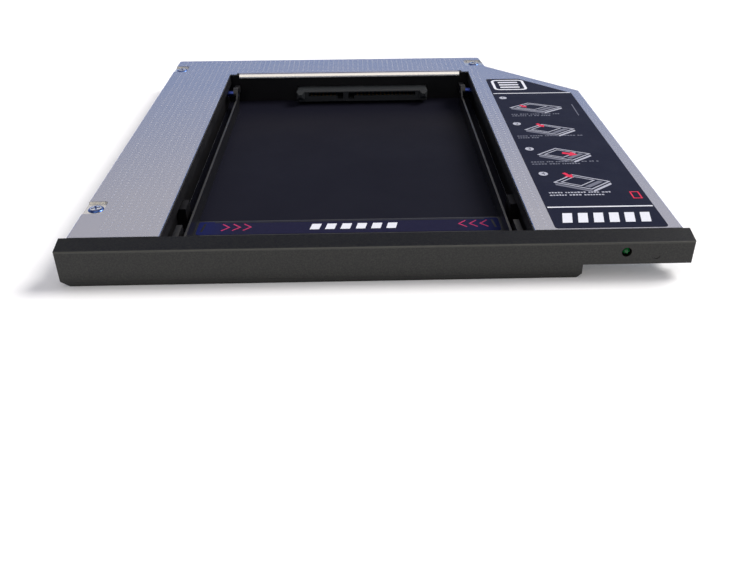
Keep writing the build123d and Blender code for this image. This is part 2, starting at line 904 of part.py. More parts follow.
def bay_plug_contacts():
    contacts = []
    tongue_top = plug_mid_z + tongue_t / 2
    front = case_d - plug_l
    for row in plug_rows():
        for x in contact_places(*row):
            sides = (x - contact_w / 2, x + contact_w / 2)
            reach = (case_d - plug_deep, case_d - contact_inset)
            contacts.append(block(*sides, *reach, tongue_top, tongue_top + strip_t))
            leg = [
                (front, plug_mid_z),
                (front, board_top),
                (front - tail_l, board_top),
                (front - tail_l, board_top + contact_t),
                (front - contact_t, board_top + contact_t),
                (front - contact_t, plug_mid_z),
            ]
            contacts.append(run_x(leg, *sides))
    return contacts


def bay_plug_locks():
    y = case_d - plug_l + 1
    return solder_locks(plug_from_left, plug_from_left + plug_w, y, board_top)


def led_board():
    x = (channel_left + frame_gap, led_board_right)
    y = (led_board_gap, led_board_gap + led_board_l)
    return block(*x, *y, led_board_z, led_board_z + led_board_t)


def activity_led():
    low = led_board_z + led_board_t
    y0 = led_board_gap
    half = led_body_w / 2
    high = led_z + led_r + led_body_rim
    body = block(led_x - half, led_x + half, y0, y0 + led_body_l, low, high)
    tip = -bezel_t + led_recess
    lens = rod_y(led_x, tip, y0 + led_body_l / 2, led_z, led_r)
    lens = chamfer(lens.edges().sort_by(Axis.Y)[0], led_r / 2)
    return body + lens


# The flat cable runs back on the lamp's board, down in one easy bend and into its socket.
def led_flex():
    top = flex_z + flex_t / 2
    start = Vector(flex_mid, led_board_gap + flex_start, top)
    bend_top = Vector(flex_mid, flex_bend_y, top)
    bend_foot = Vector(flex_mid, flex_bend_y + flex_bend_l, flex_end_z)
    end = Vector(flex_mid, socket_y + flex_entry, flex_end_z)
    back = (0, 1, 0)
    bend = Spline(bend_top, bend_foot, tangents=(back, back))
    path = Wire([Line(start, bend_top), bend, Line(bend_foot, end)])
    section = Plane(origin=start, z_dir=back, x_dir=(1, 0, 0)) * Rectangle(flex_w, flex_t)
    return sweep(section, path=path)


def flex_socket():
    x = (flex_mid - socket_w / 2, flex_mid + socket_w / 2)
    socket = block(*x, socket_y, socket_y + socket_l, board_top, board_top + socket_h)
    half = flex_w / 2 + seam
    mouth = (socket_y - 1, socket_y + flex_entry + seam)
    return socket - block(
        flex_mid - half, flex_mid + half, *mouth, flex_end_z - flex_t, flex_end_z + flex_t
    )


def cross_screw(length):
    head = Pos(0, 0, screw_head_h / 2) * Cone(screw_head_r, screw_top_r, screw_head_h)
    screw = head + Pos(0, 0, -length / 2) * Cylinder(screw_r, length)
    drop_z = screw_head_h - cross_drop / 2
    for turn in (45, 135):
        screw -= Pos(0, 0, drop_z) * Rot(0, 0, turn) * Box(cross_l, cross_w, cross_drop + 0.01)
    return screw


def cover_screws():
    z = case_h - pad_drop
    return [Pos(x, y, z) * cross_screw(cover_screw_l) for x, y in cover_screw_places()]


def bottom_screws():
    turned = Rot(180, 0, 0) * cross_screw(bottom_screw_l)
    return [Pos(x, y, pad_drop) * turned for x, y in bottom_screw_places()]


def instruction_label():
    left = window_right + label_left_gap
    right = case_w - label_right_gap
    side_rear = cut_y - label_cut_gap
    rear = case_d - label_rear_gap
    run = (rear - side_rear) * (case_w - cut_x) / (cut_side - cut_step)
    corners = [
        (left, label_front),
        (right, label_front),
        (right, side_rear),
        (right - run, rear),
        (left, rear),
    ]
    face = make_face(Polyline(corners, close=True))
    face = fillet(face.vertices(), label_r)
    return upright(face, case_h, case_h + label_t)


def chip_row(y, count):
    chips = []
    for i in range(count):
        left = receptacle_mid + (i - (count - 1) / 2) * chip_pitch - chip_w / 2
        chips.append(block(left, left + chip_w, y, y + chip_l, board_top, board_top + chip_h))
    return chips


def board_capacitors():
    return chip_row(case_d - capacitor_inset, capacitor_count)


def board_resistors():
    return chip_row(case_d - resistor_inset, resistor_count)


def led_driver():
    x, y = board_right - driver_inset, case_d - driver_rear_inset
    low = board_top + driver_lift
    driver = block(x, x + driver_w, y, y + driver_l, low, low + driver_h)
    pitch = driver_w / driver_leg_count
    for i in range(driver_leg_count):
        leg_x = x + (i + 0.5) * pitch - driver_leg_w / 2
        reach = (y - driver_leg_l, y + driver_leg_l)
        driver += block(leg_x, leg_x + driver_leg_w, *reach, board_top, board_top + driver_leg_t)
    return driver


nodes = {
    "top_cover": top_cover,
    "bottom_cover": bottom_cover,
    "bay_frame": bay_frame,
    "floor_film": floor_film,
    "front_bezel": front_bezel,
    "retaining_latch": retaining_latch,
    "latch_pins": latch_pins,
    "latch_label": latch_label,
    "drive_receptacle": drive_receptacle,
    "signal_contacts": lambda: receptacle_contacts(0),
    "power_contacts": lambda: receptacle_contacts(1),
    "receptacle_locks": receptacle_locks,
    "main_board": main_board,
    "bay_plug": bay_plug,
    "bay_plug_contacts": bay_plug_contacts,
    "bay_plug_locks": bay_plug_locks,
    "led_board": led_board,
    "activity_led": activity_led,
    "led_flex": led_flex,
    "flex_socket": flex_socket,
    "cover_screws": cover_screws,
    "bottom_screws": bottom_screws,
    "instruction_label": instruction_label,
    "board_capacitors": board_capacitors,
    "board_resistors": board_resistors,
    "led_driver": led_driver,
}

# The origin goes to the middle of the base of the whole caddy.
middle_x = (case_w + bezel_over_r - bezel_over_l) / 2
middle_y = (case_d - bezel_t) / 2
to_origin = Pos(-middle_x, -middle_y, 0)

os.makedirs("parts", exist_ok=True)
for name, make in nodes.items():
    made = make()
    solids = made if isinstance(made, list) else [made]
    placed = [s for shape in solids for s in (to_origin * shape).solids()]
    export_step(Compound(children=placed) if len(placed) > 1 else placed[0], f"parts/{name}.step")
    print(name, len(placed))
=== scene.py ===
import math
import random

import bmesh
import bpy
from mathutils import Matrix, Vector


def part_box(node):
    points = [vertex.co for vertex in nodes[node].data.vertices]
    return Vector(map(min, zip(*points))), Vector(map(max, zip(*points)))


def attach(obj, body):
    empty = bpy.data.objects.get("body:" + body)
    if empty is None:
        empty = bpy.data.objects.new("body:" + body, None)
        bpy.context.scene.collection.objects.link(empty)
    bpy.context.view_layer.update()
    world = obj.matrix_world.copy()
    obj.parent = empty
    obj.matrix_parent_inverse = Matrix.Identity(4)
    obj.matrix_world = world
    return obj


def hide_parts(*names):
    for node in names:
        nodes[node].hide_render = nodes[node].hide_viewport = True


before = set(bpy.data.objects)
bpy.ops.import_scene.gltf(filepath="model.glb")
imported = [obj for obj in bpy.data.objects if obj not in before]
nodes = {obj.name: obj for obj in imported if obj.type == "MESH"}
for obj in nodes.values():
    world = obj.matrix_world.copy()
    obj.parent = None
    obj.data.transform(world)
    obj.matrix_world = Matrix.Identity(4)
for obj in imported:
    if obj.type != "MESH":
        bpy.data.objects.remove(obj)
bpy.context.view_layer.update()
mm = 0.001
weld = 0.0005 * mm     # points nearer than this are merged
plateLow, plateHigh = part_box("top_cover")
print("frame loaded:", len(nodes), "nodes")


# x from the case's left side, y back from the bezel, z up from the base, all in mm
def onCase(x, y, z=0.0):
    return Vector((plateLow.x + x * mm, plateLow.y + y * mm, z * mm))


# The other way round: a node's box in case mm
def caseBox(nodeName):
    low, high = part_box(nodeName)
    shift = Vector((plateLow.x, plateLow.y, 0))
    return (low - shift) / mm, (high - shift) / mm


caseDeep = (plateHigh.y - plateLow.y) / mm
plateTop = plateHigh.z / mm

# Camera: where the picture was taken from
view = {
    "place": (60.66, -143.16, 86.21),  # mm on the case
    "down": 31.78,                     # degrees, as turn and roll
    "turn": -1.17,
    "roll": -0.42,
    "focal": 37.63,                    # mm, as the sensor's width
    "sensor": 36.0,
    "nearest": 0.005,                  # m, nothing nearer is drawn
}


def makeCamera(v):
    data = bpy.data.cameras.new("camera")
    data.lens = v["focal"]
    data.sensor_width = v["sensor"]
    data.clip_start = v["nearest"]
    camera = bpy.data.objects.new("camera", data)
    bpy.context.scene.collection.objects.link(camera)
    turn = Matrix.Rotation(math.radians(v["turn"]), 4, "Z")
    tilt = Matrix.Rotation(math.radians(90 - v["down"]), 4, "X")
    roll = Matrix.Rotation(math.radians(v["roll"]), 4, "Z")
    camera.matrix_world = Matrix.Translation(onCase(*v["place"])) @ turn @ tilt @ roll
    bpy.context.scene.camera = camera


makeCamera(view)
bpy.context.scene.view_settings.view_transform = "Standard"
print("camera placed")


# sRGB hex to linear
def linear(hexColour):
    parts = [int(hexColour[i:i + 2], 16) / 255 for i in (1, 3, 5)]
    return tuple(c / 12.92 if c <= 0.04045 else ((c + 0.055) / 1.055) ** 2.4 for c in parts) + (1.0,)


# One node with its settings, its socket values and its links
def addNode(tree, kind, settings=None, links=None):
    node = tree.nodes.new(kind)
    for key, value in (settings or {}).items():
        if isinstance(key, str) and hasattr(node, key):
            setattr(node, key, value)
        else:
            node.inputs[key].default_value = value
    for key, source in (links or {}).items():
        tree.links.new(source, node.inputs[key])
    return node


# An empty material and its node tree
def newTree(name):
    material = bpy.data.materials.new(name)
    material.use_nodes = True
    material.node_tree.nodes.clear()
    return material, material.node_tree


# How the noise of every material is read
patterns = {
    "speckleSpan": (0.5, 0.62),    # noise values where speckles begin and are full, before their share widens it
    "speckleDetail": 2.0,
    "wearSpan": (0.3, 0.7),        # noise values that get the lowest and the highest roughness
    "wearDetail": 3.0,
    "grainDetail": 4.0,
}


# A material from its look. Sizes in it are mm:
#   colour, roughness and metallic, as the shader takes them
#   grain (size, height, strength): bumps
#   speckle (size, colour, share): small spots of another colour
#   wear (size, lowest and highest roughness): clouds in the gloss
#   fade (axis, middle, near, far, colour): towards colour as the distance from middle goes from near to far; used
#       here to paint highlights, shade and reflection
#   painted ridge highlight (y, z, near, far, colour): colour along the edge that runs left to right at y and z
#   shader: more of the shader's own sockets
def makeMaterial(name, look):
    material, tree = newTree(name)
    coords = addNode(tree, "ShaderNodeTexCoord").outputs["Object"]
    colour = linear(look["colour"])
    settings = {"Base Color": colour, "Roughness": look["roughness"], "Metallic": look.get("metallic", 0.0)}
    settings.update(look.get("shader", {}))
    shader = addNode(tree, "ShaderNodeBsdfPrincipled", settings)
    mixed = None
    if "speckle" in look:
        size, other, share = look["speckle"]
        begin, full = patterns["speckleSpan"]
        noise = addNode(tree, "ShaderNodeTexNoise",
                        {"Scale": 1 / (size * mm), "Detail": patterns["speckleDetail"]}, {"Vector": coords})
        part = addNode(tree, "ShaderNodeMapRange", {"From Min": begin - share / 2, "From Max": full + share / 2},
                       {"Value": noise.outputs["Fac"]})
        mixed = addNode(tree, "ShaderNodeMix", {"data_type": "RGBA", 6: colour, 7: linear(other)},
                        {"Factor": part.outputs["Result"]}).outputs["Result"]
    # Painted highlight, shade or reflection, laid on by distance from a plane
    if "fade" in look:
        axis, middle, near, far, other = look["fade"]
        place = addNode(tree, "ShaderNodeSeparateXYZ", links={0: coords}).outputs[axis]
        away = addNode(tree, "ShaderNodeMath", {"operation": "SUBTRACT", 1: middle * mm}, {0: place})
        away = addNode(tree, "ShaderNodeMath", {"operation": "ABSOLUTE"}, {0: away.outputs[0]})
        part = addNode(tree, "ShaderNodeMapRange", {"From Min": near * mm, "From Max": far * mm},
                       {"Value": away.outputs[0]})
        fade = addNode(tree, "ShaderNodeMix", {"data_type": "RGBA", 6: colour, 7: linear(other)},
                       {"Factor": part.outputs["Result"]})
        if mixed:
            tree.links.new(mixed, fade.inputs[6])
        mixed = fade.outputs["Result"]
    # Painted highlight: a pale line along one edge, standing in for the light its rounding would catch
    if "ridgeHighlight" in look:
        y, z, near, far, other = look["ridgeHighlight"]
        flat = addNode(tree, "ShaderNodeVectorMath", {"operation": "MULTIPLY", 1: (0, 1, 1)}, {0: coords})
        away = addNode(tree, "ShaderNodeVectorMath", {"operation": "DISTANCE", 1: (0, y * mm, z * mm)},
                       {0: flat.outputs[0]})
        part = addNode(tree, "ShaderNodeMapRange",
                       {"From Min": near * mm, "From Max": far * mm, "To Min": 1.0, "To Max": 0.0},
                       {"Value": away.outputs["Value"]})
        ridgeHighlight = addNode(tree, "ShaderNodeMix", {"data_type": "RGBA", 6: colour, 7: linear(other)},
                      {"Factor": part.outputs["Result"]})
        if mixed:
            tree.links.new(mixed, ridgeHighlight.inputs[6])
        mixed = ridgeHighlight.outputs["Result"]
    if mixed:
        tree.links.new(mixed, shader.inputs["Base Color"])
    if "wear" in look:
        size, lowest, highest = look["wear"]
        begin, full = patterns["wearSpan"]
        cloud = addNode(tree, "ShaderNodeTexNoise",
                        {"Scale": 1 / (size * mm), "Detail": patterns["wearDetail"]}, {"Vector": coords})
        uneven = addNode(tree, "ShaderNodeMapRange",
                         {"From Min": begin, "From Max": full, "To Min": lowest, "To Max": highest},
                         {"Value": cloud.outputs["Fac"]})
        tree.links.new(uneven.outputs["Result"], shader.inputs["Roughness"])
    if "grain" in look:
        size, height, strength = look["grain"]
        bumps = addNode(tree, "ShaderNodeTexNoise",
                        {"Scale": 1 / (size * mm), "Detail": patterns["grainDetail"]}, {"Vector": coords})
        bump = addNode(tree, "ShaderNodeBump", {"Strength": strength, "Distance": height * mm},
                       {"Height": bumps.outputs["Fac"]})
        tree.links.new(bump.outputs["Normal"], shader.inputs["Normal"])
    addNode(tree, "ShaderNodeOutputMaterial", links={"Surface": shader.outputs["BSDF"]})
    return material


# Places that the looks refer to, in mm from the frame's own origin
stripMiddle = sum(v.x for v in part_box("latch_label")) / 2 / mm
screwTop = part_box("cover_screws")[1].z / mm
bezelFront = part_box("front_bezel")[0].y / mm
bezelSlope = 0.9       # how far the bezel's top falls to its front edge
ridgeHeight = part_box("front_bezel")[1].z / mm - bezelSlope
looks = {
    # Pressed aluminium sheet, satin anodised: grey-lilac with broad soft reflections, faintly
    # cloudy, and painted pale cream wherever it lies below its top face: a painted highlight on the bends and pads
    "satinAluminium": {
        "colour": "#B8B9C4", "metallic": 1.0, "roughness": 0.26, "wear": (14.0, 0.25, 0.275),
        "grain": (0.25, 0.003, 0.1), "fade": ("Z", plateTop, 0.05, 0.3, "#E9E7E2"),
    },
    # Pale metallic ink of the dots: partly opaque, so it stays light where the sheet mirrors the dark
    "dotInk": {
        "colour": "#CACBD4", "metallic": 0.84, "roughness": 0.33, "grain": (0.2, 0.003, 0.15),
    },
    # Zinc-plated steel sheet of the tray: cooler, with a fine spangle
    "zincSheet": {
        "colour": "#B9BCC2", "metallic": 1.0, "roughness": 0.4, "wear": (9.0, 0.34, 0.46),
        "grain": (0.6, 0.004, 0.2), "speckle": (2.2, "#AEB2BA", 0.3),
    },
    # Spark-eroded ABS: nearly black, half matt, with fine pale points painted on as highlights for the grain's tips,
    # and a painted grey highlight along the front edge of its top
    "texturedAbs": {
        "colour": "#0B0B0A", "roughness": 0.29, "grain": (0.3, 0.02, 0.45), "speckle": (0.3, "#252520", 0.3),
        "shader": {"Specular IOR Level": 0.4}, "ridgeHighlight": (bezelFront, ridgeHeight, 0.12, 0.4, "#41413C"),
    },
    # Glass-filled nylon frame: warm black, a little cloudy from its fibres
    "frameNylon": {
        "colour": "#0A090B", "roughness": 0.5, "grain": (0.5, 0.01, 0.3), "wear": (6.0, 0.44, 0.58),
        "shader": {"Specular IOR Level": 0.3},
    },
    # Black acetal of the latch: smoother, so that its thin top edges shine
    "latchAcetal": {
        "colour": "#0F0F11", "roughness": 0.36, "grain": (0.4, 0.006, 0.25), "wear": (5.0, 0.3, 0.42),
    },
    # Blue-black polyester film on the floor, matt embossed
    "floorFilm": {
        "colour": "#15151F", "roughness": 0.6, "grain": (0.8, 0.006, 0.15), "wear": (20.0, 0.55, 0.65),
        "shader": {"Specular IOR Level": 0.05},
    },
    # Blue-passivated zinc on steel screws
    "blueZinc": {
        "colour": "#A9B8D4", "metallic": 1.0, "roughness": 0.26, "grain": (0.2, 0.004, 0.2),
    },
    # On the cover's screws the blue plating is painted near white on the dome's top, a painted highlight, and deep
    # blue round the rim and in the cross, painted shade
    "rimmedZinc": {
        "colour": "#DCE1EC", "metallic": 1.0, "roughness": 0.24, "grain": (0.2, 0.004, 0.2),
        "fade": ("Z", screwTop, 0.05, 0.13, "#4C67A0"),
    },
    # The same plating on the pins, painted darker all over as painted shade, for where they sit down in their holes
    "pinZinc": {
        "colour": "#3C4C94", "metallic": 1.0, "roughness": 0.3, "grain": (0.2, 0.003, 0.2),
    },
    # Liquid-crystal polymer of the connectors: black with a grey flow bloom
    "connectorPolymer": {
        "colour": "#2C2E30", "roughness": 0.42, "grain": (0.25, 0.008, 0.3), "wear": (2.5, 0.36, 0.5),
        "shader": {"Specular IOR Level": 0.25},
    },
    # Gold flash on copper-alloy springs, thin enough for the copper to darken it
    "goldFlash": {
        "colour": "#A88542", "metallic": 1.0, "roughness": 0.35, "grain": (0.15, 0.002, 0.2),
    },
    # Tinned solder tabs
    "tinnedTab": {
        "colour": "#C9CACD", "metallic": 1.0, "roughness": 0.35, "grain": (0.2, 0.003, 0.2),
    },
    # Green lacquer on the boards, its weave just showing
    "boardLacquer": {
        "colour": "#12402A", "roughness": 0.35, "speckle": (1.2, "#174B32", 0.3), "grain": (0.3, 0.004, 0.2),
    },
    # Polyimide flat cable: clear amber, glossy
    "amberFilm": {
        "colour": "#B46A1E", "roughness": 0.3, "wear": (3.0, 0.25, 0.35),
    },
    # Cream nylon socket
    "creamNylon": {
        "colour": "#D9D2BD", "roughness": 0.5, "grain": (0.3, 0.005, 0.2),
    },
    # Fired ceramic chips, dull and grainy, and black moulded epoxy ones
    "tanCeramic": {
        "colour": "#8C6D48", "roughness": 0.5, "grain": (0.1, 0.004, 0.2), "speckle": (0.15, "#7C6040", 0.3),
    },
    "blackEpoxy": {
        "colour": "#1A1A1A", "roughness": 0.5, "grain": (0.1, 0.004, 0.2), "speckle": (0.15, "#242424", 0.3),
    },
    # Offset print on matt polyester: navy ground, then white, grey and red inks, each faintly grainy
    "navyPrint": {
        "colour": "#171A2B", "roughness": 0.6, "speckle": (0.2, "#1D2034", 0.3), "wear": (6.0, 0.55, 0.65),
        "shader": {"Specular IOR Level": 0.05},
    },
    "paleInk": {
        "colour": "#B4B6C2", "roughness": 0.5, "speckle": (0.2, "#A2A4B2", 0.3),
        "shader": {"Specular IOR Level": 0.2},
    },
    "whiteInk": {
        "colour": "#E2E3EA", "roughness": 0.5, "speckle": (0.2, "#D6D8E2", 0.3),
        "shader": {"Specular IOR Level": 0.2},
    },
    "greyInk": {
        "colour": "#6E707E", "roughness": 0.5, "speckle": (0.2, "#5E606E", 0.3),
        "shader": {"Specular IOR Level": 0.2},
    },
    "redInk": {
        "colour": "#E01B46", "roughness": 0.5, "speckle": (0.2, "#CC1A40", 0.3),
        "shader": {"Specular IOR Level": 0.2},
    },
    # The strip's ground is a deep violet blue, painted brighter blue towards its ends as a painted reflection
    "bluePrint": {
        "colour": "#1A1930", "roughness": 0.55, "fade": ("X", stripMiddle, 26.0, 35.5, "#151C4C"),
        "speckle": (0.3, "#1E1D38", 0.3), "shader": {"Specular IOR Level": 0.05},
    },
    "magentaInk": {
        "colour": "#B3235A", "roughness": 0.4, "speckle": (0.2, "#A02051", 0.3),
        "shader": {"Specular IOR Level": 0.2},
    },
    # Black for the painted shade in the strip's groove and slits
    "blackInk": {
        "colour": "#08080C", "roughness": 0.4, "wear": (3.0, 0.35, 0.45), "shader": {"Specular IOR Level": 0.2},
    },
    # Green epoxy of the lamp, unlit
    "greenEpoxy": {
        "colour": "#0B6A30", "roughness": 0.18, "wear": (1.0, 0.15, 0.22),
        "shader": {"Transmission Weight": 0.4, "IOR": 1.5, "Specular IOR Level": 0.25},
    },
}
materials = {name: makeMaterial(name, look) for name, look in looks.items()}

# Which look each CAD node gets
finishes = {
    "top_cover": "satinAluminium",
    "bottom_cover": "zincSheet",
    "front_bezel": "texturedAbs",
    "bay_frame": "frameNylon",
    "retaining_latch": "latchAcetal",
    "floor_film": "floorFilm",
    "latch_pins": "pinZinc",
    "cover_screws": "rimmedZinc",
    "bottom_screws": "blueZinc",
    "drive_receptacle": "connectorPolymer",
    "bay_plug": "connectorPolymer",
    "signal_contacts": "goldFlash",
    "power_contacts": "goldFlash",
    "bay_plug_contacts": "goldFlash",
    "receptacle_locks": "tinnedTab",
    "bay_plug_locks": "tinnedTab",
    "main_board": "boardLacquer",
    "led_board": "boardLacquer",
    "led_flex": "amberFilm",
    "flex_socket": "creamNylon",
    "activity_led": "greenEpoxy",
    "board_capacitors": "tanCeramic",
    "board_resistors": "blackEpoxy",
    "led_driver": "blackEpoxy",
    "instruction_label": "navyPrint",
    "latch_label": "bluePrint",
}
for nodeName, finish in finishes.items():
    for materialSlot in nodes[nodeName].material_slots:
        materialSlot.link = "DATA"
        materialSlot.material = materials[finish]
print("finishes given to", len(finishes), "nodes")


# A closed piece with these flat shapes as its floor, from height low to height high in mm
def solidPrint(name, shapes, low, high, finish, body):
    work = bmesh.new()
    for loop in shapes:
        work.faces.new([work.verts.new(onCase(x, y, low)) for x, y in loop])
    bmesh.ops.remove_doubles(work, verts=work.verts[:], dist=weld)
    grown = bmesh.ops.extrude_face_region(work, geom=work.faces[:])["geom"]
    raised = [part for part in grown if isinstance(part, bmesh.types.BMVert)]
    bmesh.ops.translate(work, verts=raised, vec=(0, 0, (high - low) * mm))
    bmesh.ops.recalc_face_normals(work, faces=work.faces[:])
    bmesh.ops.triangulate(work, faces=work.faces[:])
    mesh = bpy.data.meshes.new(name)
    work.to_mesh(mesh)
    work.free()
    return addPiece(name, mesh, finish, body)


# A finished mesh as a piece on its body
def addPiece(name, mesh, finish, body):
    mesh.materials.clear()
    mesh.materials.append(materials[finish])
    piece = bpy.data.objects.new(name, mesh)
    bpy.context.scene.collection.objects.link(piece)
    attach(piece, body)
    return piece


# Corner points to a loop with rounded corners, each in this many steps
def rounded(corners, radius, steps=6):
    loop = []
    count = len(corners)
    for i in range(count):
        before, corner, after = (Vector(corners[(i + k) % count]) for k in (-1, 0, 1))
        a, b = (before - corner).normalized(), (after - corner).normalized()
        reach = radius / math.tan(a.angle(b) / 2)
        centre = corner + (a + b).normalized() * (radius / math.sin(a.angle(b) / 2))
        start, end = corner + a * reach - centre, corner + b * reach - centre
        turn = start.angle_signed(end)
        for k in range(steps + 1):
            c, s = math.cos(-turn * k / steps), math.sin(-turn * k / steps)
            loop.append((centre.x + start.x * c - start.y * s, centre.y + start.x * s + start.y * c))
    return loop


# An upright rectangle
def bar(x0, y0, x1, y1):
    return [(x0, y0), (x1, y0), (x1, y1), (x0, y1)]


# A block that leans to the right
def slanted(x, y, wide, tall, lean):
    return [(x, y), (x + wide, y), (x + wide + lean, y + tall), (x + lean, y + tall)]


def disc(x, y, radius, steps=24):
    turns = [2 * math.pi * k / steps for k in range(steps)]
    return [(x + radius * math.cos(t), y + radius * math.sin(t)) for t in turns]


# A band of even width along the points, mitred where it turns, but not into long spikes
def stroke(points, width, closed=False, bluntest=0.3):
    count = len(points)
    sides = []
    for i, point in enumerate(points):
        here = Vector(point)
        before = here - Vector(points[i - 1]) if closed or i > 0 else None
        after = Vector(points[(i + 1) % count]) - here if closed or i < count - 1 else None
        a, b = (before or after).normalized(), (after or before).normalized()
        across, middle = Vector((-a.y, a.x)), Vector((-a.y - b.y, a.x + b.x)).normalized()
        reach = middle * (width / 2 / max(middle.dot(across), bluntest))
        sides.append((tuple(here + reach), tuple(here - reach)))
    bands = []
    for i in range(count if closed else count - 1):
        (a, b), (c, d) = sides[i], sides[(i + 1) % count]
        bands.append([a, b, d, c])
    return bands


# Small blocks where the real thing has small print, in mm
smallPrint = {
    "wide": (0.36, 0.6),
    "tall": 0.5,
    "gap": 0.2,
    "space": 0.45,         # between groups, on top of the gap
    "raised": 1.25,        # times the height, for some
    "raisedShare": 0.25,
    "firstGroup": (3, 6),  # fewest and most blocks
    "groups": (2, 7),
    "endRoom": 0.6,        # no block starts nearer to the row's end
}


# One row of them
def wordBlocks(x0, x1, y, seed, v):
    chance = random.Random(seed)
    blocks = []
    x, left = x0, chance.randint(*v["firstGroup"])
    while x < x1 - v["endRoom"]:
        wide = chance.uniform(*v["wide"])
        rise = v["tall"] * (v["raised"] if chance.random() < v["raisedShare"] else 1.0)
        blocks.append(bar(x, y, x + wide, y + rise))
        x += wide + v["gap"]
        left -= 1
        if left == 0:
            x, left = x + v["space"], chance.randint(*v["groups"])
    return blocks


# The middles of the cover's screws and of the pads round them, on the case
screwPlaces = [(2.35, 13.9), (2.35, 117.0), (99.9, 120.0)]

# Dots printed on the cover, in a square pattern with plain margins. Sizes and places in mm
dots = {
    "pitchX": 1.65,
    "pitchY": 1.55,
    "radius": 0.24,
    "topShare": 0.55,              # of the radius
    "height": 0.008,
    "corners": 10,
    "first": (17.9, 3.3),          # the front dot beside the window's left edge
    "columnsLeft": 10,
    "columnsRight": (97.95, 99.65),
    "rowsAhead": 2,                # more rows to the front in the right columns
    "frontMargin": 0.4,            # kept plain at the front and at the rear
    "rearMargin": 1.3,
    "rearFrom": 113.2,             # the rows behind the window, and where they end on the right
    "rearTo": 96.95,
    "edgeMargin": 1.6,             # kept plain along the cut corner
    "cut": [(89.5, 128.0), (115.9, 103.2), (126.2, 102.3)],   # y and x along it
    "plainCorner": (6.2, 17.5),
    "padRoom": (3.4, 4.0),         # kept plain round each pad, across and along
}


# One small cone frustum on each point
def dotTree():
    tree = bpy.data.node_groups.new("dotTree", "GeometryNodeTree")
    tree.interface.new_socket("Geometry", in_out="INPUT", socket_type="NodeSocketGeometry")
    for label in ("Foot radius", "Top radius", "Height"):
        tree.interface.new_socket(label, in_out="INPUT", socket_type="NodeSocketFloat")
    tree.interface.new_socket("Corners", in_out="INPUT", socket_type="NodeSocketInt")
    tree.interface.new_socket("Finish", in_out="INPUT", socket_type="NodeSocketMaterial")
    tree.interface.new_socket("Geometry", in_out="OUTPUT", socket_type="NodeSocketGeometry")
    given = addNode(tree, "NodeGroupInput").outputs
    cone = addNode(tree, "GeometryNodeMeshCone", links={
        "Vertices": given["Corners"], "Radius Bottom": given["Foot radius"],
        "Radius Top": given["Top radius"], "Depth": given["Height"],
    })
    placed = addNode(tree, "GeometryNodeInstanceOnPoints",
                     links={"Points": given["Geometry"], "Instance": cone.outputs["Mesh"]})
    real = addNode(tree, "GeometryNodeRealizeInstances", links={"Geometry": placed.outputs["Instances"]})
    painted = addNode(tree, "GeometryNodeSetMaterial",
                      links={"Geometry": real.outputs["Geometry"], "Material": given["Finish"]})
    addNode(tree, "NodeGroupOutput", links={"Geometry": painted.outputs["Geometry"]})
    return tree


# Runs a geometry tree over points and keeps the result as a plain mesh
def runTree(name, points, tree, values):
    seed = bpy.data.meshes.new(name + "Seed")
    seed.from_pydata([tuple(p) for p in points], [], [])
    draft = bpy.data.objects.new(name + "Draft", seed)
    bpy.context.scene.collection.objects.link(draft)
    modifier = draft.modifiers.new("tree", "NODES")
    modifier.node_group = tree
    for item in tree.interface.items_tree:
        if item.in_out == "INPUT" and item.name in values:
            modifier[item.identifier] = values[item.name]
    graph = bpy.context.evaluated_depsgraph_get()
    made = bpy.data.meshes.new_from_object(draft.evaluated_get(graph), depsgraph=graph)
    made.name = name
    bpy.data.objects.remove(draft)
    bpy.data.meshes.remove(seed)
    return made


# The cover's right edge at depth y
def rightEdge(y, cut):
    if y <= cut[0][0]:
        return cut[0][1]
    for (y0, x0), (y1, x1) in zip(cut, cut[1:]):
        if y <= y1:
            return x0 + (x1 - x0) * (y - y0) / (y1 - y0)
    return cut[-1][1]


# Where the dots go: left of the window, then right of it, then behind it
def dotPlaces(v):
    firstX, firstY = v["first"]
    leftXs = [firstX - k * v["pitchX"] for k in range(v["columnsLeft"])][::-1]
    columnsRear = int((v["rearTo"] - firstX) / v["pitchX"])
    rearXs = [firstX + k * v["pitchX"] for k in range(1, columnsRear + 1)]
    cornerX, cornerY = v["plainCorner"]
    roomX, roomY = v["padRoom"]
    places = []
    for row in range(-v["rowsAhead"], int(caseDeep / v["pitchY"])):
        y = firstY + row * v["pitchY"]
        if y < v["frontMargin"] or y > caseDeep - v["rearMargin"]:
            continue
        wanted = list(leftXs) if row >= 0 else []
        wanted += v["columnsRight"]
        if y > v["rearFrom"]:
            wanted += [x for x in rearXs if x < rightEdge(y, v["cut"]) - v["edgeMargin"]]
        for x in wanted:
            inCorner = x < cornerX and y < cornerY
            onPad = any(abs(x - padX) < roomX and abs(y - padY) < roomY for padX, padY in screwPlaces)
            if not inCorner and not onPad:
                places.append(onCase(x, y, plateTop + v["height"] / 2))
    return places


def makeDots(v):
    places = dotPlaces(v)
    mesh = runTree("coverDots", places, dotTree(), {
        "Foot radius": v["radius"] * mm, "Top radius": v["radius"] * v["topShare"] * mm,
        "Height": v["height"] * mm, "Corners": v["corners"], "Finish": materials["dotInk"],
    })
    addPiece("coverDots", mesh, "dotInk", "caddy")
    print("dots printed:", len(places))


makeDots(dots)

# Domed cross-head screws in the pads, in mm
screws = {
    # radius and height over the pad, from the head's middle to the shank's end
    "profile": [(0.0, 0.45), (0.5, 0.44), (0.9, 0.415), (1.2, 0.37), (1.45, 0.29), (1.62, 0.19), (1.72, 0.08),
                (1.72, 0.0), (0.8, 0.0), (0.8, -4.1), (0.0, -4.1)],
    "sides": 40,
    "crossLong": 1.9,
    "crossWide": 0.42,
    "crossTurn": 20,     # degrees
    "crossDrop": 0.28,
}


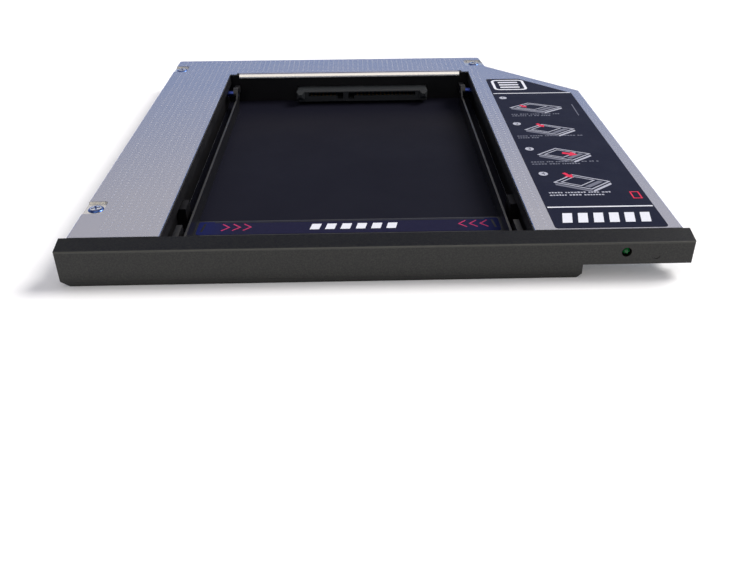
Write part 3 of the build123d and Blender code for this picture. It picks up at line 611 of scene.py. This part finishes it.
# A copy of the screw on each point
def screwTree():
    tree = bpy.data.node_groups.new("screwTree", "GeometryNodeTree")
    tree.interface.new_socket("Geometry", in_out="INPUT", socket_type="NodeSocketGeometry")
    tree.interface.new_socket("Screw", in_out="INPUT", socket_type="NodeSocketObject")
    tree.interface.new_socket("Finish", in_out="INPUT", socket_type="NodeSocketMaterial")
    tree.interface.new_socket("Geometry", in_out="OUTPUT", socket_type="NodeSocketGeometry")
    given = addNode(tree, "NodeGroupInput").outputs
    one = addNode(tree, "GeometryNodeObjectInfo", links={"Object": given["Screw"]})
    placed = addNode(tree, "GeometryNodeInstanceOnPoints",
                     links={"Points": given["Geometry"], "Instance": one.outputs["Geometry"]})
    real = addNode(tree, "GeometryNodeRealizeInstances", links={"Geometry": placed.outputs["Instances"]})
    painted = addNode(tree, "GeometryNodeSetMaterial",
                      links={"Geometry": real.outputs["Geometry"], "Material": given["Finish"]})
    addNode(tree, "NodeGroupOutput", links={"Geometry": painted.outputs["Geometry"]})
    return tree


# One screw on the origin: the profile spun round, less its cross
def oneScrew(v):
    work = bmesh.new()
    ring = [work.verts.new((r * mm, 0, z * mm)) for r, z in v["profile"]]
    edges = [work.edges.new(pair) for pair in zip(ring, ring[1:])]
    bmesh.ops.spin(work, geom=ring + edges, cent=(0, 0, 0), axis=(0, 0, 1), angle=2 * math.pi, steps=v["sides"])
    bmesh.ops.remove_doubles(work, verts=work.verts[:], dist=weld)
    bmesh.ops.recalc_face_normals(work, faces=work.faces[:])
    mesh = bpy.data.meshes.new("screwDraft")
    work.to_mesh(mesh)
    work.free()
    half, wide, top = v["crossLong"] / 2, v["crossWide"] / 2, v["profile"][0][1]
    arm = [(half, -wide), (half, wide), (wide, wide)]
    loop = []
    for c, s in ((1, 0), (0, 1), (-1, 0), (0, -1)):
        loop += [(x * c - y * s, x * s + y * c) for x, y in arm]
    cut = bmesh.new()
    cut.faces.new([cut.verts.new((x * mm, y * mm, (top - v["crossDrop"]) * mm)) for x, y in loop])
    grown = bmesh.ops.extrude_face_region(cut, geom=cut.faces[:])["geom"]
    raised = [part for part in grown if isinstance(part, bmesh.types.BMVert)]
    bmesh.ops.translate(cut, verts=raised, vec=(0, 0, 2 * v["crossDrop"] * mm))
    bmesh.ops.rotate(cut, verts=cut.verts[:], matrix=Matrix.Rotation(math.radians(v["crossTurn"]), 3, "Z"))
    bmesh.ops.recalc_face_normals(cut, faces=cut.faces[:])
    cutMesh = bpy.data.meshes.new("crossDraft")
    cut.to_mesh(cutMesh)
    cut.free()
    screw, cross = (bpy.data.objects.new(m.name, m) for m in (mesh, cutMesh))
    for part in (screw, cross):
        bpy.context.scene.collection.objects.link(part)
    carve = screw.modifiers.new("cross", "BOOLEAN")
    carve.object = cross
    carve.solver = "EXACT"
    graph = bpy.context.evaluated_depsgraph_get()
    carved = bpy.data.meshes.new_from_object(screw.evaluated_get(graph), depsgraph=graph)
    screw.modifiers.clear()
    screw.data = carved
    bpy.data.objects.remove(cross)
    return screw


def makeScrews(v):
    pad = screwTop - v["profile"][0][1]
    one = oneScrew(v)
    mesh = runTree("coverScrews", [onCase(x, y, pad) for x, y in screwPlaces], screwTree(),
                   {"Screw": one, "Finish": materials["rimmedZinc"]})
    bpy.data.objects.remove(one)
    piece = addPiece("coverScrews", mesh, "rimmedZinc", "caddy")
    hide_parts("cover_screws")
    print("screws placed:", len(screwPlaces))


makeScrews(screws)

# The small drawing of an open tray seen from one corner, in shares of its own width and height
tray = {
    "across": (0.4, 0.6),          # how far a step along each of its two edges goes across the drawing
    "up": 0.45,                    # and up it, or down
    "bay": (0.14, 0.12, 0.86, 0.66),
    "bayLine": 0.8,                # of the outline's width
    "slot": (0.12, 0.76, 0.88, 0.9),
    "walls": (0.07, 0.17),         # the side walls' upper and lower edges, under the rim
    "wallGap": 0.02,
}

# The instruction label: sizes and places in case mm
label = {
    "ground": 9.47,      # heights of the ground's, the print's and the numbers' tops
    "print": 9.485,
    "over": 9.492,
    "layer": 0.001,      # between the tops of white, pale and grey
    "root": 0.01,        # of the print in the ground
    "corner": 0.8,
    "cut": (13.62, 14.5),
    "line": 0.36,
    "discs": [(103.8, 83.2), (104.1, 61.5), (104.1, 43.5), (104.4, 28.0)],
    "discRadius": 1.1,
    "number": 1.9,
    "arrow": [(-1.0, -0.28), (0.0, -0.28), (0.0, -0.75), (1.0, 0.0), (0.0, 0.75), (0.0, 0.28), (-1.0, 0.28)],
    # middle, width and height of each drawing, then the arrow's place on it, turn and size
    "drawings": [
        ((111.8, 74.6), (14.4, 8.2), (0.27, 0.62), -50, 1.3),
        ((112.1, 57.0), (13.0, 8.4), (0.36, 0.86), -60, 1.5),
        ((112.0, 39.7), (12.8, 8.6), (0.62, 0.52), -20, 1.9),
        ((112.4, 23.1), (12.8, 9.0), (0.32, 0.92), -60, 1.6),
    ],
    # left, right and front of each pair of rows of small print, and how much shorter the second row is
    "words": [
        (103.9, 118.2, 67.4, 3.2),
        (102.6, 120.2, 50.8, 11.6),
        (102.9, 120.2, 33.5, 5.4),
        (103.5, 118.3, 15.9, 1.4),
    ],
    "wordPitch": 1.3,
    "paleBefore": 20,    # the rows nearer to the front than this are pale, the others grey
    "panel": (102.9, 90.9, 112.3, 99.9),
    "panelCorner": 1.3,
    "panelLine": 0.8,
    "panelBars": (1.7, 1.1, 2.3, 3),                 # inset, height, pitch and count
    "rules": (87.0, 9.9),
    "ruleWide": 0.5,
    "ruleInset": 0.3,
    "tick": [(122.8, 76.7), (122.6, 67.4)],
    "tickLine": 0.26,
    "square": (121.9, 14.1, 123.7, 17.3),
    "squareLine": 0.3,
    "blocks": (103.3, 2.8, 2.1, 4.4, 0.9, 3.35, 6),  # x, y, width, height, lean, pitch and count
}


# Lines and grey fills of one drawing
def trayDrawing(middle, size, line, v):
    def on(p, q, drop=0.0):
        u = v["across"][0] * p + v["across"][1] * q
        w = 0.5 + v["up"] * (p - q) - drop
        return (middle[0] + (u - 0.5) * size[0], middle[1] + (w - 0.5) * size[1])
    lines = stroke([on(*corner) for corner in bar(0, 0, 1, 1)], line, True)
    lines += stroke([on(*corner) for corner in bar(*v["bay"])], line * v["bayLine"], True)
    upper, lower = v["walls"]
    gap, front = v["wallGap"], 1 + v["wallGap"]
    greys = [[on(0, 0, upper), on(0, 1, upper), on(0, 1, lower), on(0, 0, lower)]]
    greys.append([on(*corner) for corner in bar(*v["slot"])])
    lines.append([on(gap, front, upper), on(1, front, upper), on(1, front, lower), on(gap, front, lower)])
    return lines, greys


# The arrow's shape turned and laid at x and y
def laidArrow(shape, x, y, turn, size):
    c, s = math.cos(math.radians(turn)), math.sin(math.radians(turn))
    return [(x + size * (u * c - w * s), y + size * (u * s + w * c)) for u, w in shape]


# A number as a closed mesh, laid with its middle at x and y
def makeNumber(name, text, x, y, size, low, high, finish, body):
    curve = bpy.data.curves.new(name + "Draft", "FONT")
    curve.body = text
    curve.size = size * mm
    curve.extrude = (high - low) / 2 * mm
    curve.align_x, curve.align_y = "CENTER", "CENTER"
    draft = bpy.data.objects.new(name + "Draft", curve)
    bpy.context.scene.collection.objects.link(draft)
    bpy.context.view_layer.update()
    mesh = bpy.data.meshes.new_from_object(draft)
    bpy.data.objects.remove(draft)
    mesh.name = name
    mesh.transform(Matrix.Translation(onCase(x, y, (low + high) / 2)))
    addPiece(name, mesh, finish, body)


def makeLabel(v):
    low, high = caseBox("instruction_label")
    across, along = v["cut"]
    corners = [(low.x, low.y), (high.x, low.y), (high.x, high.y - along), (high.x - across, high.y), (low.x, high.y)]
    ground = solidPrint("labelGround", [rounded(corners, v["corner"])], low.z, v["ground"],
                        "navyPrint", "caddy")
    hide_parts("instruction_label")
    white, pale, grey, red = [], [], [], []
    # Rear corner: a framed panel with three plain bars
    x0, y0, x1, y1 = v["panel"]
    white += stroke(rounded(bar(x0, y0, x1, y1), v["panelCorner"]), v["panelLine"], True)
    inset, tall, pitch, count = v["panelBars"]
    for k in range(count):
        y = y0 + inset + pitch * k
        white.append(bar(x0 + inset, y, x1 - inset, y + tall))
    inset = v["ruleInset"]
    white += [bar(low.x + inset, y, high.x - inset, y + v["ruleWide"]) for y in v["rules"]]
    # Four steps: a drawing, its arrow, and two rows of small blocks
    for (middle, size, spot, turn, long), (left, right, front, less) in zip(v["drawings"], v["words"]):
        lines, fills = trayDrawing(middle, size, v["line"], tray)
        pale += lines
        grey += fills
        x = middle[0] + (spot[0] - 0.5) * size[0]
        y = middle[1] + (spot[1] - 0.5) * size[1]
        red.append(laidArrow(v["arrow"], x, y, turn, long))
        rows = wordBlocks(left, right, front + v["wordPitch"], round(front), smallPrint)
        rows += wordBlocks(left, right - less, front, round(front) + 1, smallPrint)
        if front < v["paleBefore"]:
            pale += rows
        else:
            grey += rows
    pale += [disc(x, y, v["discRadius"]) for x, y in v["discs"]]
    grey += stroke(v["tick"], v["tickLine"])
    red += stroke(bar(*v["square"]), v["squareLine"], True)
    # Front panel: a plain row of leaning blocks
    x, y, wide, tall, lean, pitch, count = v["blocks"]
    white += [slanted(x + pitch * k, y, wide, tall, lean) for k in range(count)]
    foot = v["ground"] - v["root"]
    for name, shapes, top, finish in (
        ("labelWhite", white, v["print"], "whiteInk"),
        ("labelPale", pale, v["print"] - v["layer"], "paleInk"),
        ("labelGrey", grey, v["print"] - 2 * v["layer"], "greyInk"),
        ("labelRed", red, v["over"], "redInk"),
    ):
        solidPrint(name, shapes, foot, top, finish, "caddy")
    for k, (x, y) in enumerate(v["discs"]):
        makeNumber("stepNumber%d" % (k + 1), str(k + 1), x, y, v["number"], foot, v["over"],
                   "navyPrint", "caddy")


makeLabel(label)
print("label printed")

# The strip on the latch: sizes and places in case mm
strip = {
    "ink": 0.012,
    "corner": 0.8,
    "arrowsFrom": (28.5, 90.4),    # the outer arrows on both sides
    "arrowsEach": 3,
    "arrowPitch": 2.5,
    "arrowLong": 1.7,
    "arrowTall": 3.2,
    "arrowY": 19.3,
    "line": 0.34,
    "blocks": (48.9, 17.7, 2.2, 2.7, 0.55, 3.55, 6),  # x, y, width, height, lean, pitch and count
    # Painted shade: a black line for the groove along the strip's rear edge, and black slits for it at both ends
    "rearGrooveShade": (26.5, 90.0, 21.5, 0.5),             # from, to, y and width
    "slit": [(24.4, 21.2), (23.9, 17.2)],
}


def makeStrip(v):
    low, high = caseBox("latch_label")
    ground = solidPrint("stripGround", [rounded(bar(low.x, low.y, high.x, high.y), v["corner"])],
                        low.z, high.z - v["ink"], "bluePrint", "latch")
    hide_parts("latch_label")
    magenta = []
    half, y = v["arrowTall"] / 2, v["arrowY"]
    for k in range(v["arrowsEach"]):
        for start, side in zip(v["arrowsFrom"], (1, -1)):
            x = start + side * k * v["arrowPitch"]
            magenta += stroke([(x, y - half), (x + side * v["arrowLong"], y), (x, y + half)], v["line"])
    # Plain leaning blocks in the middle
    x, y, wide, tall, lean, pitch, count = v["blocks"]
    white = [slanted(x + pitch * k, y, wide, tall, lean) for k in range(count)]
    # Black strips along the rear edge and at both ends: painted shade of the groove round the strip's top
    x0, x1, y, wide = v["rearGrooveShade"]
    black = [bar(x0, y, x1, y + wide)]
    black += stroke(v["slit"], wide)
    middle = low.x + high.x
    black += stroke([(middle - x, y) for x, y in v["slit"]], wide)
    foot = high.z - 2 * v["ink"]
    for name, shapes, finish in (
        ("stripArrows", magenta, "magentaInk"),
        ("stripBlocks", white, "whiteInk"),
        ("stripLines", black, "blackInk"),
    ):
        solidPrint(name, shapes, foot, high.z, finish, "latch")


makeStrip(strip)
print("strip printed")

# Floor, light and what the metal mirrors
studio = {
    "floor": "#F2F2F2",
    "floorGlow": 0.1,      # added to the lit floor for the eye and for mirrors
    "floorHalf": 3.0,      # m
    # height of the direction (0 level, 1 straight up) and the room's light there
    "room": [
        (0.0, (1.50, 1.50, 1.48)),
        (0.09, (1.20, 1.19, 1.15)),
        (0.15, (0.06, 0.14, 0.40)),
        (0.31, (0.06, 0.19, 0.45)),
        (0.36, (0.58, 0.53, 0.49)),
        (0.50, (0.62, 0.60, 0.58)),
        (0.57, (0.85, 0.79, 0.70)),
        (0.63, (0.30, 0.30, 0.32)),
        (0.70, (0.05, 0.07, 0.18)),
        (1.0, (0.09, 0.10, 0.17)),
    ],
    "roomSide": (0.12, 0.5),   # how much brighter to the right and to the rear
    # A long soft box overhead and towards the front: its colour, then where it fades out on direction's
    # x to either side, on y to the rear and on z to the front
    "boxColour": (1.08, 1.02, 0.92),
    "boxAcross": (0.22, 0.45),
    "boxBehind": (0.08, 0.30),
    "boxAbove": (0.50, 0.25),
    "keyFrom": (0.95, 0.34, 1.0),
    "keyStrength": 3.2,
    "keyAngle": 26,        # degrees, a wide soft source
    "keyColour": (1.0, 0.98, 0.95),
}


# Pale paper that keeps the shadow, lifted to white for the eye and in what mirrors it
def makeFloor(v):
    half = v["floorHalf"]
    mesh = bpy.data.meshes.new("floor")
    mesh.from_pydata([(-half, -half, 0), (half, -half, 0), (half, half, 0), (-half, half, 0)], [], [(0, 1, 2, 3)])
    material, tree = newTree("paperFloor")
    paper = addNode(tree, "ShaderNodeBsdfDiffuse", {"Color": linear(v["floor"])})
    ray = addNode(tree, "ShaderNodeLightPath").outputs
    seen = addNode(tree, "ShaderNodeMath", {"operation": "MAXIMUM"},
                   {0: ray["Is Camera Ray"], 1: ray["Is Glossy Ray"]})
    seen = addNode(tree, "ShaderNodeMath", {"operation": "MAXIMUM"},
                   {0: seen.outputs[0], 1: ray["Is Transmission Ray"]})
    level = addNode(tree, "ShaderNodeMath", {"operation": "MULTIPLY", 1: v["floorGlow"]}, {0: seen.outputs[0]})
    glow = addNode(tree, "ShaderNodeEmission", {"Color": (1, 1, 1, 1)}, {"Strength": level.outputs[0]})
    both = addNode(tree, "ShaderNodeAddShader", links={0: paper.outputs[0], 1: glow.outputs[0]})
    addNode(tree, "ShaderNodeOutputMaterial", links={"Surface": both.outputs[0]})
    mesh.materials.append(material)
    floor = bpy.data.objects.new("floor", mesh)
    bpy.context.scene.collection.objects.link(floor)


# Walls and ceiling as light by height, and the soft box on top of them
def makeRoom(v):
    world = bpy.data.worlds.new("room")
    bpy.context.scene.world = world
    world.use_nodes = True
    tree = world.node_tree
    tree.nodes.clear()
    towards = addNode(tree, "ShaderNodeTexCoord").outputs["Generated"]
    height = addNode(tree, "ShaderNodeSeparateXYZ", links={0: towards}).outputs["Z"]
    ramp = addNode(tree, "ShaderNodeValToRGB", links={0: height})
    steps = ramp.color_ramp.elements
    while len(steps) < len(v["room"]):
        steps.new(0.5)
    for step, (place, colour) in zip(steps, v["room"]):
        step.position = place
        step.color = colour + (1.0,)
    lean = addNode(tree, "ShaderNodeVectorMath",
                   {"operation": "DOT_PRODUCT", 1: v["roomSide"] + (0.0,)}, {0: towards})
    gain = addNode(tree, "ShaderNodeMath", {"operation": "ADD", 1: 1.0}, {0: lean.outputs["Value"]})
    walls = addNode(tree, "ShaderNodeBackground",
                    links={"Color": ramp.outputs["Color"], "Strength": gain.outputs[0]})
    places = addNode(tree, "ShaderNodeSeparateXYZ", links={0: towards}).outputs
    aside = addNode(tree, "ShaderNodeMath", {"operation": "ABSOLUTE"}, {0: places["X"]}).outputs[0]
    share = None
    for place, (inner, outer) in (
        (aside, v["boxAcross"]),
        (places["Y"], v["boxBehind"]),
        (places["Z"], v["boxAbove"]),
    ):
        limits = {"From Min": inner, "From Max": outer, "To Min": 1.0, "To Max": 0.0}
        part = addNode(tree, "ShaderNodeMapRange", limits, {"Value": place}).outputs["Result"]
        if share:
            part = addNode(tree, "ShaderNodeMath", {"operation": "MULTIPLY"}, {0: share, 1: part}).outputs[0]
        share = part
    box = addNode(tree, "ShaderNodeBackground", {"Color": v["boxColour"] + (1.0,)}, {"Strength": share})
    light = addNode(tree, "ShaderNodeAddShader", links={0: walls.outputs[0], 1: box.outputs[0]})
    addNode(tree, "ShaderNodeOutputWorld", links={"Surface": light.outputs[0]})


# The main lamp, from the right and a little from behind
def makeKey(v):
    data = bpy.data.lights.new("key", "SUN")
    data.energy = v["keyStrength"]
    data.angle = math.radians(v["keyAngle"])
    data.color = v["keyColour"]
    key = bpy.data.objects.new("key", data)
    key.rotation_euler = Vector(v["keyFrom"]).to_track_quat("Z", "Y").to_euler()
    bpy.context.scene.collection.objects.link(key)


makeFloor(studio)
makeRoom(studio)
makeKey(studio)
print("studio lit")
